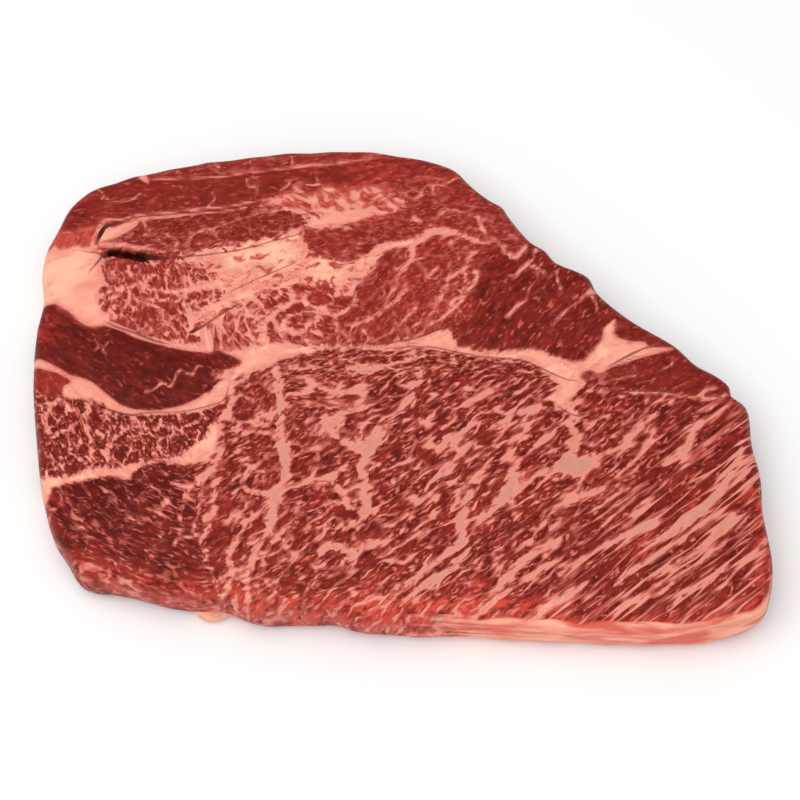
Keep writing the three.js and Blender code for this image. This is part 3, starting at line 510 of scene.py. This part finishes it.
def nearest(place, points, widths, closed=False):
    """For each place: its distance from the line, the side of the line it is on, and the width there."""
    line, width = curved(points, widths, closed)
    if closed:
        line, width = np.vstack([line, line[:1]]), np.append(width, width[:1])
    distance = np.full(len(place), np.inf)
    side, breadth = np.ones(len(place)), np.zeros(len(place))
    for a, b, wa, wb in zip(line[:-1], line[1:], width[:-1], width[1:]):
        run = b - a
        along = np.clip((place - a) @ run / max(run @ run, 1e-9), 0, 1)
        off = place - a - along[:, None] * run
        d = np.hypot(off[:, 0], off[:, 1])
        closer = d < distance
        distance[closer] = d[closer]
        side[closer] = np.sign(run[0] * off[closer, 1] - run[1] * off[closer, 0])
        breadth[closer] = (wa + (wb - wa) * along)[closer]
    return distance, side, breadth


def inside(place, points):
    """Distance in from a closed outline, negative outside it."""
    line, _ = curved(points, closed=True)
    x, y = place.T
    within = np.zeros(len(place), bool)
    for (ax, ay), (bx, by) in zip(line, np.roll(line, -1, 0)):
        crosses = (ay > y) != (by > y)
        if ay != by:
            within ^= crosses & (x < ax + (y - ay) / (by - ay) * (bx - ax))
    distance, _, _ = nearest(place, points, None, closed=True)
    return np.where(within, distance, -distance)


def near(place, points):
    """Which places lie within reach of the box round these points."""
    low, high = np.min(points, 0) - REACH, np.max(points, 0) + REACH
    return np.where(((place > low) & (place < high)).all(1))[0]


# The mesh is the solid's own, cut into even small faces and eased a little.
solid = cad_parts["steak"]
rough = bmesh.new()
rough.from_mesh(solid.data)
bmesh.ops.remove_doubles(rough, verts=rough.verts, dist=1e-6)
joined = bpy.data.meshes.new("steak_skin")
rough.to_mesh(joined)
rough.free()
steak = bpy.data.objects.new("steak_skin", joined)
scene.collection.objects.link(steak)
remesh = steak.modifiers.new("even faces", "REMESH")
remesh.mode = "VOXEL"
remesh.voxel_size = MESH_STEP
ease = steak.modifiers.new("eased corners", "SMOOTH")
ease.factor = 0.5
ease.iterations = EASE_ROUNDS
mesh = bpy.data.meshes.new_from_object(steak.evaluated_get(bpy.context.evaluated_depsgraph_get()))
steak.modifiers.clear()
steak.data = mesh
bpy.data.meshes.remove(joined)
mesh.shade_smooth()

count = len(mesh.vertices)
metres = np.empty(count * 3)
mesh.vertices.foreach_get("co", metres)
spots = metres.reshape(-1, 3) * METRE
normals = np.empty(count * 3)
mesh.vertices.foreach_get("normal", normals)
normals = normals.reshape(-1, 3)
depth = CUT_HEIGHT - spots[:, 2]
flat = spots[:, :2] + depth[:, None] * np.array(DRIFT)

# Which muscle each place belongs to, and its look.
waves = np.stack([np.sin(flat[:, 1] / 1.9 + flat[:, 0] / 5), np.sin(flat[:, 0] / 2.2 - flat[:, 1] / 4)], 1)
depths = np.stack([inside(flat + WANDER * waves, m["outline"]) for m in MUSCLES.values()])
share = np.exp(np.clip((depths - depths.max(0)) / BLEND, -30, 0))
share /= share.sum(0)
look = {}
for key in ("tone", "fatty", "contrast", "curly", "lobed"):
    look[key] = sum(s * m.get(key, 0) for s, m in zip(share, MUSCLES.values()))
# Towards the near right corner the eye's strands run on as long stripes.
rightward = np.clip((0.8 * flat[:, 0] - 0.6 * flat[:, 1] - 62) / 40, 0, 1)
striped = share[list(MUSCLES).index("eye")] * rightward

# Grain: how far along it, across it, and down into the slab. Each small face keeps the grain of one muscle.
corner_place = np.empty(len(mesh.loops), int)
mesh.loops.foreach_get("vertex_index", corner_place)
face_sizes = np.empty(len(mesh.polygons), int)
mesh.polygons.foreach_get("loop_total", face_sizes)
face_starts = np.concatenate([[0], np.cumsum(face_sizes)[:-1]])
face_muscle = np.add.reduceat(depths[:, corner_place], face_starts, axis=1).argmax(0)
corner_muscle = np.repeat(face_muscle, face_sizes)
grain = np.zeros((len(corner_place), 3))
for k, muscle in enumerate(MUSCLES.values()):
    own = corner_muscle == k
    here = flat[corner_place[own]]
    if "centre" in muscle:
        off = here - muscle["centre"]
        ring = np.arctan2(off[:, 0], -off[:, 1]) * muscle["radius"]
        way = np.stack([ring, -np.hypot(off[:, 0], off[:, 1])], 1)
    else:
        turn = math.radians(muscle["angle"])
        way = np.stack([here @ (math.cos(turn), math.sin(turn)), here @ (-math.sin(turn), math.cos(turn))], 1)
    if "bend" in muscle:
        left = np.clip((5 - here[:, 0]) / 30, 0, 1.3)
        way[:, 1] -= muscle["bend"] * left * left * np.clip((here[:, 1] + 50) / 30, 0.35, 1)
    grain[own, :2] = way / muscle["coarse"]
grain[:, 2] -= depth[corner_place]

# How far each place lies inside the fat, and where the shaded partings run.
fat = np.full(count, -4.0)
for area in FAT_AREAS:
    some = near(flat, area)
    fat[some] = np.maximum(fat[some], inside(flat[some], area))
for line, widths in FAT_LINES:
    some = near(flat, line)
    distance, _, breadth = nearest(flat[some], line, widths)
    fat[some] = np.maximum(fat[some], breadth - distance)
flap = FLAP_SIZE - np.linalg.norm((spots - FLAP) * FLAP_SHAPE, axis=1)
fat = np.maximum(fat, np.clip(flap * 1.5, -4, 2))
dull = np.clip(inside(flat, DULL_FAT) / 3 + 0.5, 0, 1)
creamy = np.zeros(count)
for x, y, reach in CREAMY:
    creamy = np.maximum(creamy, np.clip(1.4 - np.hypot(flat[:, 0] - x, flat[:, 1] - y) / reach, 0, 1))

line_side, line_width = np.full(count, 3.0), np.full(count, -3.0)
closest = np.full(count, 3.0)
for line, widths in SHADED_PARTINGS:
    some = near(flat, line)
    distance, side, breadth = nearest(flat[some], line, widths)
    nearer = distance < closest[some]
    some, distance, side, breadth = some[nearer], distance[nearer], side[nearer], breadth[nearer]
    closest[some] = distance
    line_side[some] = side * distance
    line_width[some] = np.where(distance < LINE_REACH, breadth + LINE_SPREAD, -3.0)

# Inside an opening the meat is painted dark: painted shade deep in the hollow.
well_in = inside(spots[:, :2], RIM)
opening_shade = np.clip((CUT_HEIGHT - 0.3 - spots[:, 2]) / 1.5, 0, 1) * (well_in > 0) * (spots[:, 2] > 3)

# Painted light: along the near edge and down the near side the lean is painted a brighter red, where light
# falls.
past_rim = np.clip(-well_in, 0, 8) / 8
upright = np.clip((0.8 - normals[:, 2]) / 0.4, 0, 1)
near_side = np.clip(-normals[:, 1] * 1.6, 0, 1) * upright * (spots[:, 1] < NEAR_SIDE)
redness_and_edge_light = np.clip((LIT_EDGE - spots[:, 1]) / 4, 0, 1) * np.clip(1.6 - np.abs(spots[:, 0]) / 45, 0, 1)
redness_and_edge_light = np.maximum(redness_and_edge_light, 0.8 * np.clip(past_rim * 1.7 - 0.5, 0, 1) * (spots[:, 1] < NEAR_SIDE))
# The listed shades add patches of redder or darker lean, its own colour, to the same mask.
for x, y, reach, strength in SHADES:
    redness_and_edge_light += strength * np.clip(1.5 - np.hypot(flat[:, 0] - x, flat[:, 1] - y) / reach, 0, 1)
# Silverskin covers the right half of the near side.
silverskin = near_side * np.clip((spots[:, 0] + 2) / 42, 0, 1)

# Shallow relief on the upper face: the shaded partings are furrows, and the fat lies lower than the lean.
furrow = np.clip(1 - closest / 1.4, 0, 1) ** 2 * np.clip(line_width / 0.3, 0, 1.5) * FURROW_DEPTH
sink = furrow + FAT_SINK * np.clip(fat + 0.6, 0, 1.2)
upper = np.clip((spots[:, 2] - 17) / 4, 0, 1) * np.clip((normals[:, 2] - 0.2) / 0.5, 0, 1)
metres = ((spots - normals * (sink * upper)[:, None]) / METRE).ravel()
mesh.vertices.foreach_set("co", metres)
mesh.update()

# What the mesh keeps for the material, three numbers under each name.
kept = mesh.attributes.new("grain", "FLOAT_VECTOR", "CORNER")
kept.data.foreach_set("vector", grain.astype(np.float32).ravel())
for name, values in {
    "lean": (look["tone"], look["contrast"], redness_and_edge_light),
    "strands": (look["curly"], striped, look["lobed"]),
    "fat": (look["fatty"], fat, creamy),
    "lines": (line_side, line_width, opening_shade),
    "cover": (dull, silverskin, np.zeros(count)),
}.items():
    kept = mesh.attributes.new(name, "FLOAT_VECTOR", "POINT")
    kept.data.foreach_set("vector", np.stack(values, 1).astype(np.float32).ravel())


class Wire:
    """One output of a material node. Arithmetic on wires and numbers adds the Math nodes that work it out."""

    def __init__(self, material, end):
        self.material = material
        self.end = end

    def math(self, operation, *values):
        return self.material.node("ShaderNodeMath", {"operation": operation}, list(values))

    def __add__(self, other):
        return self.math("ADD", self, other)

    def __sub__(self, other):
        return self.math("SUBTRACT", self, other)

    def __rsub__(self, other):
        return self.math("SUBTRACT", other, self)

    def __mul__(self, other):
        return self.math("MULTIPLY", self, other)

    def __abs__(self):
        return self.math("ABSOLUTE", self)

    __radd__ = __add__
    __rmul__ = __mul__

    def most(self, other):
        return self.math("MAXIMUM", self, other)

    def ramp(self, low, high, start=0.0, end=1.0):
        """Goes smoothly from start to end as this value goes from low to high."""
        settings = {"interpolation_type": "SMOOTHSTEP"}
        values = {"Value": self, "From Min": low, "From Max": high, "To Min": start, "To Max": end}
        return self.material.node("ShaderNodeMapRange", settings, values)


class Material:
    """A Principled material under construction."""

    def __init__(self, name):
        self.block = bpy.data.materials.new(name)
        self.block.use_nodes = True
        self.tree = self.block.node_tree
        self.surface = self.tree.nodes["Principled BSDF"]

    def node(self, kind, settings, values, output=0):
        made = self.tree.nodes.new(kind)
        for key, value in settings.items():
            setattr(made, key, value)
        pairs = values.items() if isinstance(values, dict) else enumerate(values)
        for key, value in pairs:
            if isinstance(value, Wire):
                self.tree.links.new(value.end, made.inputs[key])
            else:
                made.inputs[key].default_value = value
        return Wire(self, made.outputs[output])

    def attribute(self, name):
        """The place that the mesh keeps under this name."""
        return self.node("ShaderNodeAttribute", {"attribute_name": name}, {}, "Vector")

    def numbers(self, name):
        """The three numbers that the mesh keeps under this name."""
        whole = self.attribute(name)
        return [self.node("ShaderNodeSeparateXYZ", {}, [whole], k) for k in range(3)]

    def noise(self, place, scale=1.0, detail=2.0, roughness=0.5, output="Fac"):
        values = {"Vector": place, "Scale": scale, "Detail": detail, "Roughness": roughness}
        return self.node("ShaderNodeTexNoise", {}, values, output)

    def cells(self, place):
        """How far a place is from the border of the cell that it lies in, in parts of a cell."""
        settings = {"feature": "DISTANCE_TO_EDGE"}
        values = {"Vector": place, "Scale": 1.0, "Randomness": 0.9}
        return self.node("ShaderNodeTexVoronoi", settings, values, "Distance")

    def combined(self, operation, *values):
        return self.node("ShaderNodeVectorMath", {"operation": operation}, list(values))

    def scaled(self, place, x, y, z):
        return self.combined("MULTIPLY", place, (x, y, z))

    def in_sizes(self, place, size):
        """A place measured in pieces of that size."""
        return self.scaled(place, *(1 / length for length in size))

    def shifted(self, place, amount, scale, detail=2.0):
        """A place moved about by a smooth noise of that reach and scale."""
        wander = self.noise(place, scale, detail, 0.5, "Color")
        centred = self.combined("SUBTRACT", wander, (0.5, 0.5, 0.5))
        moved = self.node("ShaderNodeVectorMath", {"operation": "SCALE"}, {0: centred, "Scale": amount})
        return self.combined("ADD", place, moved)

    def mix(self, share, first, second):
        settings = {"data_type": "RGBA"}
        return self.node("ShaderNodeMix", settings, {0: share, 6: first, 7: second}, 2)

    def set(self, **values):
        for key, value in values.items():
            name = key.replace("_", " ")
            if isinstance(value, Wire):
                self.tree.links.new(value.end, self.surface.inputs[name])
            else:
                self.surface.inputs[name].default_value = value


# Sizes of the meat's patterns: mm along the grain, across it and down into the slab.
LONG_STRAND = (6.0, 1.8, 10)
SHORT_STRAND = (2.8, 1.7, 10)
STRIPE = (20.0, 1.6, 14)
VEIN = (26.0, 3.0, 20)
LONG_BUNDLE = (8.0, 2.8, 14)
SHORT_BUNDLE = (4.5, 2.8, 12)
LOBE = (7.5, 7.5, 16)

meat = Material("raw meat")
place = meat.attribute("grain")
tone, contrast, redness_and_edge_light = meat.numbers("lean")
curly, striped, lobed = meat.numbers("strands")
fatty, traced, creamy = meat.numbers("fat")
line_side, line_width, opening_shade = meat.numbers("lines")
dull, silverskin, _ = meat.numbers("cover")
spot = meat.scaled(meat.node("ShaderNodeTexCoord", {}, {}, "Object"), METRE, METRE, METRE)

# Strands of lean with fine fat between them: long, or short and curly, or in long stripes with veins.
crinkled = meat.shifted(meat.shifted(place, 3.0, 0.13), 0.6, 0.5, 1.0)
curled = meat.shifted(meat.shifted(place, 4.0, 0.2, 1.0), 1.3, 0.5, 1.0)
smoother = meat.shifted(place, 2.0, 0.08, 1.0)
long_strands = meat.noise(meat.in_sizes(crinkled, LONG_STRAND), roughness=0.45)
short_strands = meat.noise(meat.in_sizes(curled, SHORT_STRAND), roughness=0.45)
strands = long_strands + (short_strands - long_strands) * curly
stripes = meat.noise(meat.in_sizes(smoother, STRIPE))
strands = strands + (stripes - strands) * striped
veins = abs(meat.noise(meat.in_sizes(smoother, VEIN), detail=1.0) - 0.5).ramp(0.0, 0.11, 1.0, 0.0)

# The strands lie in bundles, with walls of fat between them that are thick in places and thin in others.
# In some muscles the bundles lie in round lobes, with soft fat between those too.
long_bundles = meat.cells(meat.in_sizes(crinkled, LONG_BUNDLE))
short_bundles = meat.cells(meat.in_sizes(curled, SHORT_BUNDLE))
bundle = long_bundles + (short_bundles - long_bundles) * curly
walls = bundle.ramp(0.0, 0.32, 0.5, -1.7) * contrast * (1.0 - striped)
lobes = meat.cells(meat.in_sizes(meat.shifted(place, 1.6, 0.3, 1.0), LOBE)).ramp(0.0, 0.3, 1.3, -0.9)
slow = meat.noise(meat.scaled(place, 0.06, 0.14, 0.05)) - 0.5
own_fat = fatty + (strands - 0.5) * contrast * 7.0 + walls + (veins * 2.2 - 1.2) * striped
# Curly muscles get more fine fat where the near edge is painted lighter and in the listed redder patches.
own_fat = own_fat + redness_and_edge_light * curly * 0.6 + slow * contrast.ramp(1.25, 1.6, 0.8, 6.0) + lobes * lobed

# The traced seams, with ragged edges. The thinnest veins are drawn whole, but only in the plainer muscles.
ragged = meat.noise(meat.scaled(crinkled, 0.2, 0.6, 0.1), detail=3.0, roughness=0.6) - 0.5
ragged = ragged * contrast * 4.0 * traced.ramp(-1.5, 0.3, 0.2, 1.0) * traced.ramp(1.2, 4.0, 1.0, 0.1)
drawn = (traced + ragged) * 1.8 + (strands - 0.5) * contrast * 3.0
thin = traced.ramp(-0.35, 0.25, -3.0, 0.9) - contrast.ramp(0.6, 0.9) * 4.0
in_fat = (own_fat + traced.ramp(-1.2, 0.6) * contrast * 1.1).most(drawn).most(thin)

# Lean: mottled, with painted light: redder near the near edge and a painted highlight along the middle of its
# bundles.
mottle = meat.noise(meat.scaled(place, 0.14, 0.35, 0.1), detail=3.0, roughness=0.65)
fibre = meat.noise(meat.scaled(crinkled, 0.45, 1.1, 0.2))
uneven_redness_and_light = redness_and_edge_light * mottle.ramp(0.35, 0.62, 0.3, 1.2)
lightness = tone + ((mottle - 0.5) * 1.7 + (fibre - 0.5) * 0.9) * (contrast * 0.6 + 0.5)
# Painted shade and highlight on the bundles: lighter deep inside them, darker at their rims next to the fat.
lightness = lightness + uneven_redness_and_light * 0.65 + in_fat.ramp(-2.8, -0.8, 0.26, 0.04) * contrast
# A painted highlight along the middle of the bundles.
painted_highlight = bundle.ramp(0.08, 0.26) * fibre.ramp(0.52, 0.66) * contrast
lean = meat.mix(lightness.ramp(-0.25, 0.6), DARKEST_LEAN, RED_LEAN)
lean = meat.mix(lightness.ramp(0.45, 1.4), lean, BRIGHT_LEAN)
# Painted light: a brighter red along the near edge and near side, with the listed redder patches.
lean = meat.mix(uneven_redness_and_light.ramp(0.1, 1.2) * 0.3, lean, REDDER_AND_LIT_LEAN)
# The painted highlight mixed into the lean.
lean = meat.mix(painted_highlight * 0.9, lean, PAINTED_HIGHLIGHT_LEAN)

# Fat: pink where it is thin and pale where it is thick, with red wisps, creamy parts and blushes in it.
cream = creamy + meat.noise(place, 0.15, 3.0) - 0.5
veil = meat.noise(meat.scaled(place, 0.1, 0.2, 0.1), roughness=0.55)
wisps = abs(short_strands - 0.5).ramp(0.0, 0.07, 1.0, 0.0) * mottle.ramp(0.38, 0.54)
wisps = wisps * contrast.ramp(0.5, 1.0) * fatty.ramp(1.0, 2.0)
thick = in_fat.ramp(1.2, 3.0)
# Thin fat is painted redder along the near edge as painted light, and in the listed redder patches.
pink = meat.mix(redness_and_edge_light * 0.3, THIN_FAT, REDDER_AND_LIT_FAT)
pale = meat.mix(wisps, meat.mix(dull, THICK_FAT, GREYER_FAT), WISP_RED)
fat_colour = meat.mix((in_fat + (mottle - 0.5) * 2.5).ramp(0.2, 1.4), pink, MIDDLE_FAT)
fat_colour = meat.mix((in_fat + (fibre - 0.5) * 2.5).ramp(1.2, 3.2), fat_colour, pale)
fat_colour = meat.mix(cream.ramp(0.1, 0.9) * in_fat.ramp(1.0, 3.0), fat_colour, CREAM_FAT)
fat_colour = meat.mix(veil.ramp(0.5, 0.7) * thick * 0.7, fat_colour, SHADED_FAT)
fat_colour = meat.mix(veil.ramp(0.5, 0.3) * thick * (1.0 - dull) * 0.6, fat_colour, PALEST_FAT)
fat_colour = meat.mix(mottle.ramp(0.52, 0.7) * thick * 0.45, fat_colour, BLUSHING_FAT)

# Painted shade in the partings where muscles part, darker where they are wider.
surface = meat.mix(in_fat.ramp(-0.9, 1.0), lean, fat_colour)
parting_shade = (line_width - abs(line_side) + (fibre - 0.5) * 0.3).ramp(-0.16, 0.08)
parting_shade_colour = meat.mix(line_width.ramp(0.3, 0.8), SHALLOW_PARTING_SHADE, DEEP_PARTING_SHADE)
surface = meat.mix(parting_shade * line_width.ramp(0.1, 0.8, 0.6, 1.0), surface, parting_shade_colour)

# Silverskin on the near side, in streaks along the side, and painted shade inside the openings.
streak = meat.noise(meat.scaled(meat.shifted(spot, 2.5, 0.12), 0.07, 0.07, 0.4), detail=3.0)
blush = meat.noise(meat.scaled(spot, 0.05, 0.05, 0.12))
skin_colour = meat.mix(streak.ramp(0.3, 0.7), PINK_SKIN, PALE_SKIN)
skin_colour = meat.mix(blush.ramp(0.5, 0.64) * 0.8, skin_colour, RED_SKIN)
skin = (silverskin + (streak - 0.5) * silverskin.ramp(0.0, 0.3) * 1.6).ramp(0.15, 0.75)
surface = meat.mix(skin, surface, skin_colour)
# Painted shade inside the openings.
surface = meat.mix(opening_shade, surface, OPENING_SHADE)

height = in_fat.ramp(-1.2, 0.8) * -0.25 + painted_highlight * 0.1 + fibre * 0.08 + meat.noise(place, 1.6, 3.0) * 0.1
height = height * silverskin.ramp(0.0, 0.2, 1.0, 0.15)
bump = meat.node("ShaderNodeBump", {}, {"Strength": 1.0, "Distance": 0.001, "Height": height})
meat.set(Base_Color=surface, Roughness=0.42, Specular_IOR_Level=0.08, Normal=bump)
mesh.materials.clear()
mesh.materials.append(meat.block)
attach(steak, "root")
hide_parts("steak")


# The table.
# A plain pale sheet, matt, far larger than the steak, which lies on it.
TABLE_WIDTH = 6
PALE_GREY = (0.86, 0.86, 0.86, 1)
bpy.ops.mesh.primitive_plane_add(size=TABLE_WIDTH, location=(0, 0, 0))
table = bpy.context.object
table.name = "table"
pale_sheet = Material("pale table")
pale_sheet.set(Base_Color=PALE_GREY, Roughness=0.8, Specular_IOR_Level=0.1)
table.data.materials.append(pale_sheet.block)


# The light.
# One large soft lamp hangs above the steak, a little to the near left, in a pale room.
LAMP_PLACE = (-0.2, -0.2, 0.9)
LAMP_WIDTH = 0.9
LAMP_POWER = 6.5
ROOM_LIGHT = 0.7
room = bpy.data.worlds.new("soft room")
scene.world = room
room.use_nodes = True
backdrop = room.node_tree.nodes["Background"]
backdrop.inputs["Color"].default_value = (1, 1, 1, 1)
backdrop.inputs["Strength"].default_value = ROOM_LIGHT
bulb = bpy.data.lights.new("soft box", "AREA")
bulb.size = LAMP_WIDTH
bulb.energy = LAMP_POWER
lamp = bpy.data.objects.new("soft box", bulb)
lamp.location = LAMP_PLACE
lamp_x, lamp_y, lamp_z = LAMP_PLACE
tilt = math.atan2(math.hypot(lamp_x, lamp_y), lamp_z)
lamp.rotation_euler = (tilt, 0, math.atan2(lamp_y, lamp_x) + math.pi / 2)
scene.collection.objects.link(lamp)
scene.view_settings.view_transform = "Standard"


# The camera.
# It looks down at the steak from the near side, 65 degrees above the table, as the photo does.
ELEVATION = 65
camera = bpy.data.cameras.new("camera")
camera.sensor_width = 36
camera.lens = 96.39
camera.clip_start = 0.01
viewer = bpy.data.objects.new("camera", camera)
viewer.location = (0.0018, -0.29963, 0.64542)
viewer.rotation_euler = (math.radians(90 - ELEVATION), 0, 0)
scene.collection.objects.link(viewer)
scene.camera = viewer
